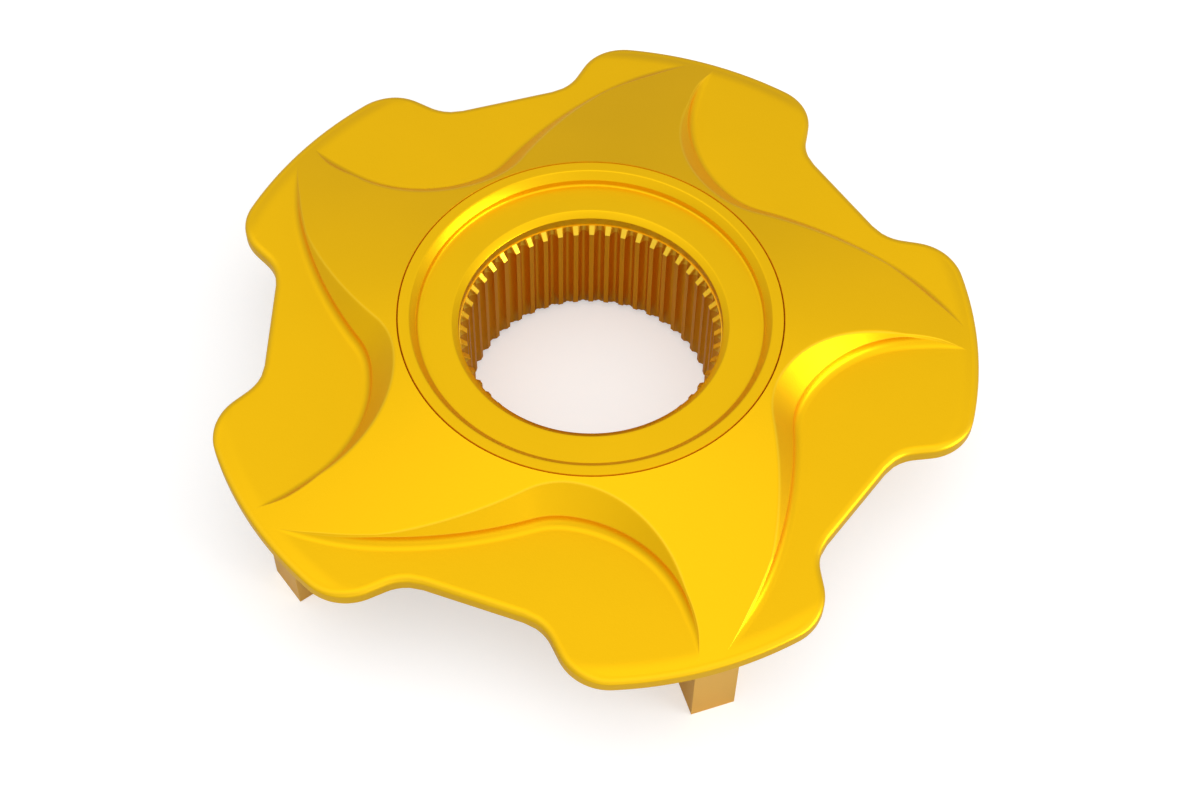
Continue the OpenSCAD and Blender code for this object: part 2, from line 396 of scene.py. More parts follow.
class NodeGroups:
    """Shader node groups that more than one finish uses, each built once."""

    DYE_SCALE = 38.0           # scale of the slow noise in the dye
    DYE_DETAIL = 3.0
    GRAIN_DETAIL = 2.0
    COARSE_SCALE = 0.3         # scale of the coarse grain as a share of the fine grain's
    COARSE_HEIGHT = 0.6        # and its height
    RING_DETAIL = 1.0
    STROKE_DETAIL = 3.0

    def __init__(self) -> None:
        """Builds every group."""
        self.mottle = self._mottle()
        self.grain = self._grain()
        self.rings = self._rings()
        self.strokes = self._strokes()

    @staticmethod
    def _new(name: str, inputs: dict[str, tuple[str, float | tuple]], outputs: dict[str, str]) -> tuple:
        """Makes an empty group with its sockets.

        Args:
            name: of the group.
            inputs: socket kind and default for each input.
            outputs: socket kind for each output.

        Returns:
            The group, its input node and its output node.
        """
        group = bpy.data.node_groups.new(name, "ShaderNodeTree")
        for label, (kind, value) in inputs.items():
            socket = group.interface.new_socket(label, in_out="INPUT", socket_type=kind)
            socket.default_value = value
        for label, kind in outputs.items():
            group.interface.new_socket(label, in_out="OUTPUT", socket_type=kind)
        return group, group.nodes.new("NodeGroupInput"), group.nodes.new("NodeGroupOutput")

    @staticmethod
    def _feed(group: bpy.types.NodeTree, value: object, socket: bpy.types.NodeSocket) -> None:
        """Gives a socket its value.

        Args:
            group: the group.
            value: another socket or a number.
            socket: the socket that takes it.
        """
        if isinstance(value, bpy.types.NodeSocket):
            group.links.new(value, socket)
        else:
            socket.default_value = value

    def _math(self, group: bpy.types.NodeTree, kind: str, first: object,
              second: object) -> bpy.types.NodeSocket:
        """Adds a Math node.

        Args:
            group: the group.
            kind: the operation.
            first: socket or number.
            second: socket or number.

        Returns:
            The result.
        """
        node = group.nodes.new("ShaderNodeMath")
        node.operation = kind
        for socket, value in zip(node.inputs, (first, second)):
            self._feed(group, value, socket)
        return node.outputs[0]

    def _noise(self, group: bpy.types.NodeTree, vector: bpy.types.NodeSocket, scale: object,
               detail: float) -> bpy.types.NodeSocket:
        """Adds a Noise Texture.

        Args:
            group: the group.
            vector: where it is read.
            scale: socket or number.
            detail: octaves of finer noise.

        Returns:
            The noise's value.
        """
        node = group.nodes.new("ShaderNodeTexNoise")
        node.inputs["Detail"].default_value = detail
        group.links.new(vector, node.inputs["Vector"])
        self._feed(group, scale, node.inputs["Scale"])
        return node.outputs["Fac"]

    @staticmethod
    def _place(group: bpy.types.NodeTree) -> bpy.types.NodeSocket:
        """Adds the object's own coordinates."""
        return group.nodes.new("ShaderNodeTexCoord").outputs["Object"]

    def _plan(self, group: bpy.types.NodeTree) -> tuple[bpy.types.Node, bpy.types.Node]:
        """Adds the object's coordinates split into three, and a vector of X and Y alone.

        Args:
            group: the group.

        Returns:
            The node that splits and the node that holds the vector.
        """
        split = group.nodes.new("ShaderNodeSeparateXYZ")
        group.links.new(self._place(group), split.inputs[0])
        flat = group.nodes.new("ShaderNodeCombineXYZ")
        for axis in "XY":
            group.links.new(split.outputs[axis], flat.inputs[axis])
        return split, flat

    def _mottle(self) -> bpy.types.NodeTree:
        """Dye that took a little unevenly, with a painted highlight: slow noise shifts the colour, and edges
        get a paler painted highlight.

        Returns:
            The group.
        """
        white = (1, 1, 1, 1)
        group, given, out = self._new(
            "dye_mottle_and_edge_highlight",
            {"Colour": (COLOUR, white), "Highlight colour": (COLOUR, white), "Roughness": (FLOAT, 0.4),
             "Amount": (FLOAT, 0.06), "Highlight amount": (FLOAT, 0.3)},
            {"Colour": COLOUR, "Roughness": FLOAT})
        slow = self._noise(group, self._place(group), self.DYE_SCALE, self.DYE_DETAIL)
        drift = self._math(group, "SUBTRACT", slow, 0.5)
        offset = self._math(group, "MULTIPLY", drift, given.outputs["Amount"])
        tone = group.nodes.new("ShaderNodeHueSaturation")
        group.links.new(self._math(group, "ADD", offset, 1.0), tone.inputs["Value"])
        group.links.new(given.outputs["Colour"], tone.inputs["Color"])
        # painted highlight: the "edge" attribute mixes the paler highlight colour into the dye
        edge = group.nodes.new("ShaderNodeAttribute")
        edge.attribute_name = "edge"
        edge_highlight = self._math(group, "MULTIPLY", edge.outputs["Fac"], given.outputs["Highlight amount"])
        mix = group.nodes.new("ShaderNodeMix")
        mix.data_type = "RGBA"
        first, second, result = mix.inputs[6], mix.inputs[7], mix.outputs[2]    # its colour sockets
        group.links.new(edge_highlight, mix.inputs["Factor"])
        group.links.new(tone.outputs["Color"], first)
        group.links.new(given.outputs["Highlight colour"], second)
        group.links.new(result, out.inputs["Colour"])
        rough = self._math(group, "ADD", given.outputs["Roughness"], offset)
        group.links.new(rough, out.inputs["Roughness"])
        return group

    def _grain(self) -> bpy.types.NodeTree:
        """Bead-blasted grain: two sizes of noise added together.

        Returns:
            The group.
        """
        group, given, out = self._new("blast_grain", {"Scale": (FLOAT, 2600.0)}, {"Height": FLOAT})
        place = self._place(group)
        scale = given.outputs["Scale"]
        fine = self._noise(group, place, scale, self.GRAIN_DETAIL)
        wider = self._math(group, "MULTIPLY", scale, self.COARSE_SCALE)
        coarse = self._noise(group, place, wider, self.GRAIN_DETAIL)
        low = self._math(group, "MULTIPLY", coarse, self.COARSE_HEIGHT)
        group.links.new(self._math(group, "ADD", fine, low), out.inputs["Height"])
        return group

    def _rings(self) -> bpy.types.NodeTree:
        """Turning marks: noise along the distance from the bore axis and along the height.

        Returns:
            The group.
        """
        group, given, out = self._new("turning_rings", {"Scale": (FLOAT, 2200.0)}, {"Height": FLOAT})
        split, flat = self._plan(group)
        length = group.nodes.new("ShaderNodeVectorMath")
        length.operation = "LENGTH"
        group.links.new(flat.outputs[0], length.inputs[0])
        line = group.nodes.new("ShaderNodeCombineXYZ")
        group.links.new(length.outputs["Value"], line.inputs["X"])
        group.links.new(split.outputs["Z"], line.inputs["Y"])
        marks = self._noise(group, line.outputs[0], given.outputs["Scale"], self.RING_DETAIL)
        group.links.new(marks, out.inputs["Height"])
        return group

    def _strokes(self) -> bpy.types.NodeTree:
        """Upright tool strokes: noise drawn out along the height.

        Returns:
            The group.
        """
        group, given, out = self._new(
            "upright_strokes", {"Scale": (FLOAT, 1800.0), "Stretch": (FLOAT, 0.04)}, {"Height": FLOAT})
        split, drawn = self._plan(group)
        height = self._math(group, "MULTIPLY", split.outputs["Z"], given.outputs["Stretch"])
        group.links.new(height, drawn.inputs["Z"])
        marks = self._noise(group, drawn.outputs[0], given.outputs["Scale"], self.STROKE_DETAIL)
        group.links.new(marks, out.inputs["Height"])
        return group


@dataclass(frozen=True)
class Finish:
    """One finish: dye or bare metal, a paler colour painted on its edges as a highlight, how rough it is,
    and the marks that its making left.
    """

    name: str
    slot: str
    colour: tuple[float, float, float]
    highlight_colour: tuple[float, float, float]
    roughness: float
    marks: Marks
    mark_scale: float
    mark_depth: float
    mottle: float = 0.06
    highlight_amount: float = 0.3
    metallic: float = 1.0

    def material(self, groups: NodeGroups) -> bpy.types.Material:
        """Builds the material.

        Args:
            groups: the shared node groups.

        Returns:
            A Principled material with its colour, roughness and bump from the groups.
        """
        made = bpy.data.materials.new(self.name)
        made.use_nodes = True
        nodes, links = made.node_tree.nodes, made.node_tree.links
        shader = nodes["Principled BSDF"]
        shader.inputs["Metallic"].default_value = self.metallic
        dye = nodes.new("ShaderNodeGroup")
        dye.node_tree = groups.mottle
        given = {"Colour": (*self.colour, 1), "Highlight colour": (*self.highlight_colour, 1),
                 "Roughness": self.roughness, "Amount": self.mottle, "Highlight amount": self.highlight_amount}
        for label, value in given.items():
            dye.inputs[label].default_value = value
        links.new(dye.outputs["Colour"], shader.inputs["Base Color"])
        links.new(dye.outputs["Roughness"], shader.inputs["Roughness"])
        relief = nodes.new("ShaderNodeGroup")
        relief.node_tree = {Marks.BLASTED: groups.grain, Marks.TURNED: groups.rings,
                            Marks.BROACHED: groups.strokes, Marks.MILLED: groups.strokes}[self.marks]
        relief.inputs["Scale"].default_value = self.mark_scale
        bump = nodes.new("ShaderNodeBump")
        bump.inputs["Distance"].default_value = self.mark_depth * MM
        links.new(relief.outputs["Height"], bump.inputs["Height"])
        links.new(bump.outputs["Normal"], shader.inputs["Normal"])
        return made


GOLD = (0.90, 0.525, 0.006)
# paler gold painted on edges as a highlight
HIGHLIGHT_GOLD = (1.0, 0.68, 0.05)
# darker, browner gold for the sleeve: painted shade of its deep toothed bore
SHADED_SPLINE_GOLD = (0.84, 0.39, 0.008)
TAN_GOLD = (0.98, 0.60, 0.13)
# the second colour of each finish is a highlight painted on the edges that the "edge" attribute marks
FINISHES = {
    "plate": Finish("plate_gold", "plate_anodised", GOLD, HIGHLIGHT_GOLD, 0.42, Marks.BLASTED, 2600.0, 0.012),
    "hub": Finish("hub_gold", "hub_anodised", GOLD, HIGHLIGHT_GOLD, 0.36, Marks.TURNED, 2200.0, 0.006),
    # spline: painted shade in its darker colour, and a strong painted highlight on the tooth tops
    "spline": Finish("spline_gold", "spline_anodised", SHADED_SPLINE_GOLD, HIGHLIGHT_GOLD, 0.36,
                     Marks.BROACHED, 1800.0, 0.03, mottle=0.12, highlight_amount=0.85),
    "dog": Finish("dog_gold", "dog_anodised", TAN_GOLD, HIGHLIGHT_GOLD, 0.40, Marks.MILLED, 1500.0, 0.03,
                  mottle=0.12),
    "screw": Finish("oxide_black", "black_screw", (0.03, 0.03, 0.034), (0.12, 0.12, 0.13), 0.38,
                    Marks.TURNED, 3000.0, 0.004, mottle=0.08),
    "pin": Finish("ground_steel", "bright_steel", (0.58, 0.57, 0.55), (0.7, 0.69, 0.67), 0.22,
                  Marks.TURNED, 4000.0, 0.003),
}


# ---------------------------------------------------------------- shared sizes

def span(node: str) -> tuple[np.ndarray, np.ndarray]:
    """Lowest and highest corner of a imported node, in millimetres."""
    low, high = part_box(node)
    return np.array(low) / MM, np.array(high) / MM


@dataclass(frozen=True)
class Layout:
    """Sizes that several sub-assemblies share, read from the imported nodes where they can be."""

    lobes: int = 5
    rim_r: float = float(span("star_plate")[1][0])
    plate_z: float = float(span("star_plate")[0][2])
    land_z: float = float(span("hub_barrel")[1][2])
    hub_flange_r: float = float(span("hub_barrel")[1][0])
    sleeve_r: float = float(span("spline_sleeve")[1][0])
    sleeve_low: float = float(span("spline_sleeve")[0][2])
    sleeve_top: float = float(span("spline_sleeve")[1][2])
    pin_top: float = float(span("sleeve_pins")[1][2])
    foot_z: float = float(span("dog_screws")[0][2]) + HEAD_H
    hub_flange_z: float = float(span("hub_screws")[0][2]) + HEAD_H
    spigot_r: float = 36.4
    barrel_r: float = 33.0
    hub_screw_r: float = 39.95
    hub_screws: int = 10
    hub_screw_a: float = 9.0
    hub_dowels: int = 5
    hub_dowel_a: float = 27.0
    pin_d: float = 3.0
    dowel_d: float = 4.0
    screw_d: float = 4.0
    screw_hole_d: float = 4.5
    screw_depth: float = 4.4
    dowel_depth: float = 2.8
    dog_lead: float = 2.3
    foot_r: float = 44.5
    foot_screws: tuple[tuple[float, float], ...] = ((4.0, -1.5), (4.3, 11.0), (13.5, 9.0))
    dowel_insets: tuple[float, float] = (11.0, 21.5)
    round_steps: int = 24

    @property
    def step(self) -> float:
        """Angle from one lobe to the next."""
        return 360 / self.lobes

    def hub_places(self, count: int, first: float) -> np.ndarray:
        """Plan points evenly round the hub flange, from a first bearing."""
        return self.hub_screw_r * ray(first + np.arange(count) * 360 / count)

    def on_each_dog(self, places: tuple[tuple[float, float], ...]) -> np.ndarray:
        """Plan points given along and across a dog from its foot's inner edge, on all five dogs."""
        local = np.array(places) + np.array([self.foot_r, 0.0])
        return np.concatenate([turned(local, self.step * k + self.dog_lead) for k in range(self.lobes)])

    @property
    def hub_screw_places(self) -> np.ndarray:
        """Plan points of the ten hub screws."""
        return self.hub_places(self.hub_screws, self.hub_screw_a)

    @property
    def hub_dowel_places(self) -> np.ndarray:
        """Plan points of the five hub dowels."""
        return self.hub_places(self.hub_dowels, self.hub_dowel_a)

    @property
    def dog_screw_places(self) -> np.ndarray:
        """Plan points of the fifteen dog screws."""
        return self.on_each_dog(self.foot_screws)

    @property
    def dog_dowel_places(self) -> np.ndarray:
        """Plan points of the ten dog dowels."""
        return self.on_each_dog(tuple((inset, 0.0) for inset in self.dowel_insets))


# ---------------------------------------------------------------- star plate

@dataclass
class StarPlate:
    """The five-lobed plate: a shallow cone with five swirl pockets and a rounded rim."""

    layout: Layout
    bore_clearance: float = 0.05
    bore_break: float = 0.14
    rim_h: float = 2.1
    rim_round_w: float = 1.4
    rim_round_h: float = 1.0
    under_break: float = 0.25
    dome_inset: float = 3.0
    floor_blend: float = 0.9
    notch_depth: float = 12.7
    notch_half_w: float = 9.5
    notch_fillet_r: float = 8.5
    lobe_corner_r: float = 9.8
    lobe_corner_a: float = 22.7
    pocket_land: float = 5.8
    pocket_a: float = 13.8
    corner_r: float = 15.2
    lead_a: float = -78.3
    lead_r: float = 26.2
    trail_a: float = -52.6
    trail_r: float = 80.9
    wall_h: float = 2.1
    wall_fillet: float = 1.85
    edge_break: float = 0.35
    crest_round: float = 0.5
    lip_round: float = 0.22
    guard: float = 0.4
    floor_strip: float = 0.06
    inner_rows: int = 26
    notch_rows: int = 9
    flank_rows: int = 24
    band_rows: int = 7
    arm_columns: int = 26
    floor_columns: int = 10
    hub_rows: int = 7
    bend_points: int = 6
    fillet_points: int = 11
    level_points: int = 400
    rim_rows: int = 9
    lead_sweep: float = 110.0
    trail_sweep: float = 40.0
    break_share: float = 0.4
    round_share: float = 0.45
    lip_share: float = 0.8
    bevel_shares: tuple[float, float] = (0.08, 0.92)
    solve_rounds: int = 30
    # share of painted highlight on each row of the rim
    rim_highlight: tuple[float, ...] = (0, 0, 0.2, 0.4, 0.5, 0.5, 0.4, 0.5, 0.7, 0.7, 0.5)

    def __post_init__(self) -> None:
        """Works out the radii and heights that the surfaces share."""
        self.floor_z = self.layout.plate_z + self.rim_h + self.rim_round_h
        self.fall_r = self.layout.rim_r - self.dome_inset
        self.slope = (self.layout.land_z - self.floor_z) / (self.fall_r - self.layout.spigot_r)
        self.bore_r = self.layout.spigot_r + self.bore_clearance
        self.pocket_r = self.layout.spigot_r + self.pocket_land + self.corner_r
        self.deep_r = self.pocket_r - self.corner_r
        self.tip_r = self.fall_r + self.floor_blend
        self.inset_r = self.layout.rim_r - self.rim_round_w

    def cone(self, radius: np.ndarray) -> np.ndarray:
        """Height of the conical face: it falls by the slope for each unit of radius."""
        return self.layout.land_z - self.slope * (radius - self.layout.spigot_r)

    def floor(self, radius: np.ndarray) -> np.ndarray:
        """Height of a pocket's floor: level, then a parabola that runs into the cone."""
        past = np.clip(radius - self.fall_r + self.floor_blend, 0, 2 * self.floor_blend)
        beyond = np.maximum(radius - self.tip_r, 0)
        return self.floor_z - self.slope * (past ** 2 / (4 * self.floor_blend) + beyond)

    def half_outline(self) -> Trace:
        """Outline from the middle of a notch, clockwise side, to the end of the lobe's corner arc.

        Straight floor, concave fillet and convex corner, each tangent to the next.

        Returns:
            The trace.
        """
        rim_r = self.layout.rim_r
        fillet_c = np.array([self.notch_half_w, rim_r - self.notch_depth + self.notch_fillet_r])
        corner_c = (rim_r - self.lobe_corner_r) * ray(90 - self.lobe_corner_a)
        between = corner_c - fillet_c
        spread = math.acos((self.notch_fillet_r + self.lobe_corner_r) / np.linalg.norm(between))
        join_a = math.degrees(math.atan2(between[1], between[0]) - spread)
        share = np.linspace(0, 1, self.level_points)[:, None]
        level = np.array([[0.0, rim_r - self.notch_depth]]) + share * np.array([[self.notch_half_w, 0.0]])
        floor = Trace(level, np.broadcast_to([0.0, 1.0], level.shape))
        return joined(floor, arc(fillet_c, self.notch_fillet_r, -90, join_a, facing=-1),
                      arc(corner_c, self.lobe_corner_r, join_a + 180, 90 - self.lobe_corner_a))

    def pocket_sides(self) -> tuple[Trace, Trace]:
        """Pocket edge from its deepest point out along the leading side and along the trailing side.

        Corner arc, then an arc that curves the same way or one that curves the other way, each
        tangent to the corner. The normals point into the plate.

        Returns:
            The leading side and the trailing side.
        """
        corner_c = self.pocket_r * ray(90 + self.pocket_a)
        lead_c = corner_c - (self.lead_r - self.corner_r) * ray(self.lead_a)
        trail_c = corner_c + (self.corner_r + self.trail_r) * ray(self.trail_a)
        deepest, back = self.pocket_a - 90, self.trail_a + 180
        lead = joined(arc(corner_c, self.corner_r, deepest, self.lead_a),
                      arc(lead_c, self.lead_r, self.lead_a, self.lead_a - self.lead_sweep))
        trail = joined(arc(corner_c, self.corner_r, deepest, self.trail_a),
                       arc(trail_c, self.trail_r, back, back - self.trail_sweep, facing=-1))
        return lead, trail

    def row_radii(self) -> np.ndarray:
        """Radii of the rows, close together where an outline runs round the axis.

        Returns:
            Rising radii.
        """
        notch_low = self.layout.rim_r - self.notch_depth - self.rim_round_w
        notch_high = math.hypot(notch_low, self.notch_half_w)
        rise = np.linspace(0, 1, self.inner_rows + 1) ** 2
        creep = np.linspace(0, 1, self.notch_rows + 1) ** 2
        slow = slowing(self.flank_rows)
        parts = [self.deep_r + (notch_low - self.deep_r) * rise,
                 notch_low + (notch_high - notch_low) * creep[1:],
                 notch_high + (self.tip_r - notch_high) * slow[1:]]
        return np.concatenate(parts)

    def wall(self, edge: Trace) -> tuple[np.ndarray, np.ndarray]:
        """Section across a pocket's edge: rounded crest, bevel, rounded lip, wall and fillet.

        The bevel climbs at 45 degrees from the lip until it meets the cone, so its width solves
        cone(edge + width) = lip + width. Where the wall is lower than the fillet, the fillet's
        arc is cut short.

        Args:
            edge: the pocket's edge.

        Returns:
            Points of the section for each point of the edge, and the share of painted highlight at each
            point of the section.
        """
        high = self.cone(reach(edge.points)) - self.floor(reach(edge.points))
        high = np.maximum(high, 0)
        width = np.zeros(len(high))
        for _ in range(self.solve_rounds):
            met = self.cone(reach(edge.points + edge.normals * width[:, None]))
            width = np.maximum(met - self.floor_z - self.wall_h, 0)
        width = np.hypot(width, np.minimum(self.edge_break, self.break_share * high))
        crest_z = self.cone(reach(edge.points + edge.normals * width[:, None]))
        lip_z = crest_z - width
        wall = np.maximum(lip_z - self.floor(reach(edge.points)), 0)
        sweep = np.arccos(np.clip(1 - wall / self.wall_fillet, 0, 1))
        foot = self.wall_fillet * np.sin(sweep)
        bevel = width * math.sqrt(2)
        crest_back = np.minimum(self.crest_round, self.round_share * bevel)
        lip_back = np.minimum(self.lip_round, self.round_share * bevel)
        drop = np.minimum(self.lip_round, self.lip_share * np.maximum(wall - self.wall_fillet, 0))
        half = math.sqrt(0.5)
        outer = width + crest_back
        outer_z = self.cone(reach(edge.points + edge.normals * outer[:, None]))

        # bends as offsets and heights: plane of the cone to bevel, and bevel to wall
        share = np.linspace(0, 1, self.bend_points)[None]
        zero = np.zeros(len(wall))
        crest, lip = ([parabola(*(v[:, None] for v in line), share) for line in bend] for bend in (
            ((outer, width, width - half * crest_back), (outer_z, crest_z, crest_z - half * crest_back)),
            ((half * lip_back, zero, zero), (lip_z + half * lip_back, lip_z, lip_z - drop))))
        between = np.array([self.bevel_shares])
        middle = [a[:, -1:] * (1 - between) + b[:, :1] * between for a, b in zip(crest, lip)]
        angle = sweep[:, None] * np.linspace(1, 0, self.fillet_points)[None]
        away = self.wall_fillet * np.sin(angle) - foot[:, None]
        rise = self.wall_fillet * (1 - np.cos(angle))
        base = self.floor(reach(edge.points[:, None] + edge.normals[:, None] * away[..., None]))
        offset = np.concatenate([crest[0], middle[0], lip[0], away], axis=1)
        height = np.concatenate([crest[1], middle[1], lip[1], base + rise], axis=1)
        plan = edge.points[:, None] + edge.normals[:, None] * offset[..., None]
        # painted highlight along the middles of the crest and lip roundings
        bend_highlight = np.zeros(offset.shape[1])      # 1 at the middles of the two bends
        bend_highlight[2:4] = 1
        bend_highlight[10:13] = 1
        return lifted(plan, height), bend_highlight

    def shares(self, length: np.ndarray, columns: int, ends: tuple[bool, bool]) -> np.ndarray:
        """Shares across a row, with a narrow guard column beside each end that needs one.

        Args:
            length: length of each row.
            columns: columns between the guards.
            ends: whether the first and the last end have a guard.

        Returns:
            Rows by columns of shares from 0 to 1.
        """
        narrow = np.minimum(self.guard / np.maximum(length, 1e-6), 0.25 / columns)[:, None]
        inner = np.linspace(0, 1, columns + 1)[None]
        low, high = narrow * ends[0], 1 - narrow * ends[1]
        inner = low + (high - low) * inner
        zeros = np.zeros_like(narrow)
        return np.concatenate([zeros, inner, zeros + 1], axis=1)

    def across(self, start: np.ndarray, end: np.ndarray, turn: float, columns: int,
               ends: tuple[bool, bool]) -> tuple[np.ndarray, np.ndarray]:
        """Rows between two curves: radius and bearing run evenly from one to the other.

        Args:
            start: plan points of the first curve.
            end: plan points of the second curve, before it is turned.
            turn: angle by which the second curve is turned on.
            columns: columns between the guards.
            ends: which ends have a guard column.

        Returns:
            Radii and bearings of the grid.
        """
        r0, r1, a0, a1 = reach(start), reach(end), swing(start), swing(end) + turn
        length = np.radians(np.abs(a1 - a0)) * r0 + np.abs(r1 - r0)
        share = self.shares(length, columns, ends)
        return r0[:, None] + (r1 - r0)[:, None] * share, a0[:, None] + (a1 - a0)[:, None] * share

    def sector(self) -> tuple[list[tuple[np.ndarray, np.ndarray | float]], Trace, np.ndarray,
                              np.ndarray]:
        """One fifth of the plate's top, with its notch axis along Y.

        Returns:
            The grids with their shares of painted highlight, the samples round the outline, the bore's
            bearings and the loop round the level part of the pocket's floor.
        """
        rows = self.row_radii()
        first = self.inner_rows
        lead, trail = (side.at(rows) for side in self.pocket_sides())
        clock = self.half_outline()
        anti = clock.mirrored()
        grids: list[tuple[np.ndarray, np.ndarray | float]] = []
        walls = []
        for side in (lead, trail):
            section, bend_highlight = self.wall(side)
            grids.append((section, bend_highlight[None]))
            walls.append(section)
        lead_wall, trail_wall = walls

        # arm between this pocket's leading side and the next pocket's trailing side
        arm_r, arm_a = self.across(lead_wall[:, 0, :2], trail_wall[:, 0, :2], self.layout.step,
                                   self.arm_columns, (True, True))
        grids.append((lifted(at_swing(arm_r, arm_a), self.cone(arm_r)), 0.0))

        # ring between the bore and the arms
        share = np.linspace(0, 1, self.hub_rows)[:, None]
        ring_r = self.bore_r + self.bore_break + (arm_r[:1] - self.bore_r - self.bore_break) * share
        ring_a = np.broadcast_to(arm_a[:1], ring_r.shape)
        grids.append((lifted(at_swing(ring_r, ring_a), self.cone(ring_r)), 0.0))

        # floor: rows where it runs into the cone, round the edge of one level face
        feet = [wall[:, -1, :2] for wall in walls]
        furthest = np.max([rows, reach(feet[0]), reach(feet[1])], axis=0)
        level = int(np.argmax(furthest > self.fall_r - self.floor_blend)) - 1
        tops, loops = [], []
        for foot, flank in zip(feet, (anti, clock)):
            bounds = flank.at(rows[first:], self.rim_round_w)
            edge = bounds.points - self.rim_round_w * bounds.normals
            radius, angle = self.across(edge[level - first:], foot[level:], 0.0, self.floor_columns,
                                        (False, True))
            grids.append((lifted(at_swing(radius, angle), self.floor(radius)), 0.0))
            tops.append(angle[-1])
            last_row = distinct(at_swing(radius[0], angle[0])[::-1])
            loops.append(np.concatenate([foot[:level], last_row, edge[:level - first][::-1]]))
        pocket_floor = np.concatenate([loops[0], loops[1][::-1][1:-1]])

        # band outside the pockets, across the whole lobe
        slow = slowing(self.band_rows)
        band_radii = self.tip_r + (self.inset_r - self.tip_r) * slow
        columns = np.concatenate([tops[0], arm_a[-1][1:], tops[1][::-1][1:] + self.layout.step])
        upper = [flank.at(band_radii, self.rim_round_w) for flank in (anti, clock)]
        low_a, high_a = [swing(u.points - self.rim_round_w * u.normals) for u in upper]
        high_a = high_a + self.layout.step
        place = (columns - columns[0]) / (columns[-1] - columns[0])
        band_a = low_a[:, None] + (high_a - low_a)[:, None] * place[None]
        band_r = np.broadcast_to(band_radii[:, None], band_a.shape)
        grids.append((lifted(at_swing(band_r, band_a), self.floor(band_r)), 0.0))

        # samples round the outline: up one flank, across the lobe, down the next
        flanks = [flank.at(rows[first:], self.rim_round_w) for flank in (anti, clock)]
        out_way = ray(band_a[-1] + 90)
        tip = Trace(self.layout.rim_r * out_way, out_way)
        ups = joined(flanks[0], upper[0])
        downs = joined(flanks[1], upper[1])
        back = Trace(*(turned(part[::-1], self.layout.step) for part in (downs.points, downs.normals)))
        return grids, joined(ups, tip, back), arm_a[0], pocket_floor

    def build(self) -> bpy.types.Object:
        """Turns the sector to all five places and closes it with rim, bore and underside.

        Returns:
            The object.
        """
        shell = Shell()
        grids, outline, bore_a, pocket_floor = self.sector()
        level_face = drawn_in(pocket_floor, self.floor_strip)
        turns = [self.layout.step * (k + 0.5) - 90 for k in range(self.layout.lobes)]
        for angle in turns:
            for points, edge in grids:
                shell.grid(turned(points, angle), edge)
            loops = [lifted(turned(loop, angle), self.floor_z) for loop in (pocket_floor, level_face)]
            shell.grid(np.stack(loops), closed=True)
            shell.cap(loops[1])

        # rim: quarter of an ellipse down to the plain band, then a small chamfer underneath
        points = np.concatenate([turned(outline.points[:-1], a) for a in turns])
        normals = np.concatenate([turned(outline.normals[:-1], a) for a in turns])
        roll = np.radians(np.linspace(0, 90, self.rim_rows))[:, None]
        top = self.floor(reach(points - normals * self.rim_round_w))[None]
        band_z = self.layout.plate_z + self.rim_h
        inset = self.rim_round_w * (1 - np.sin(roll)) + 0 * top
        height = band_z + (top - band_z) * np.cos(roll)
        under = np.array([[0.0, self.layout.plate_z + self.under_break],
                          [self.under_break, self.layout.plate_z]])
        inset = np.concatenate([inset, np.broadcast_to(under[:, :1], (2, inset.shape[1]))])
        height = np.concatenate([height, np.broadcast_to(under[:, 1:], (2, height.shape[1]))])
        rim = lifted(points[None] - normals[None] * inset[..., None], height)
        # painted highlight on the rim's rounding and band, row by row
        shell.grid(rim, np.array(self.rim_highlight)[:, None], closed=True)

        # bore, with a fine break at its upper edge
        angles = np.concatenate([bore_a[:-1] + 90 + a for a in turns])
        lip_r = self.bore_r + self.bore_break
        lip_z = float(self.cone(np.array(lip_r)))
        profile = np.array([[lip_r, lip_z],
                            [self.bore_r, lip_z - 2 * self.bore_break],
                            [self.bore_r, self.layout.plate_z]])
        bore = revolve(profile, angles)
        shell.grid(bore, 0.0, closed=True)

        # underside with the blind holes for screws and dowels
        holes = []
        plan = self.layout
        for places, wide, deep in ((plan.dog_screw_places, plan.screw_d, plan.screw_depth),
                                   (plan.hub_screw_places, plan.screw_d, plan.screw_depth),
                                   (plan.dog_dowel_places, plan.dowel_d, plan.dowel_depth),
                                   (plan.hub_dowel_places, plan.dowel_d, plan.dowel_depth)):
            for x, y in places:
                ring = circle(x, y, wide / 2, plan.round_steps)
                mouth, end = lifted(ring, plan.plate_z), lifted(ring, plan.plate_z + deep)
                shell.grid(np.stack([mouth, end]), closed=True)
                shell.cap(end)
                holes.append(mouth)
        shell.cap(rim[-1], [bore[-1]] + holes)
        return shell.build("star_plate_surface")


# ---------------------------------------------------------------- hub, sleeve and pins

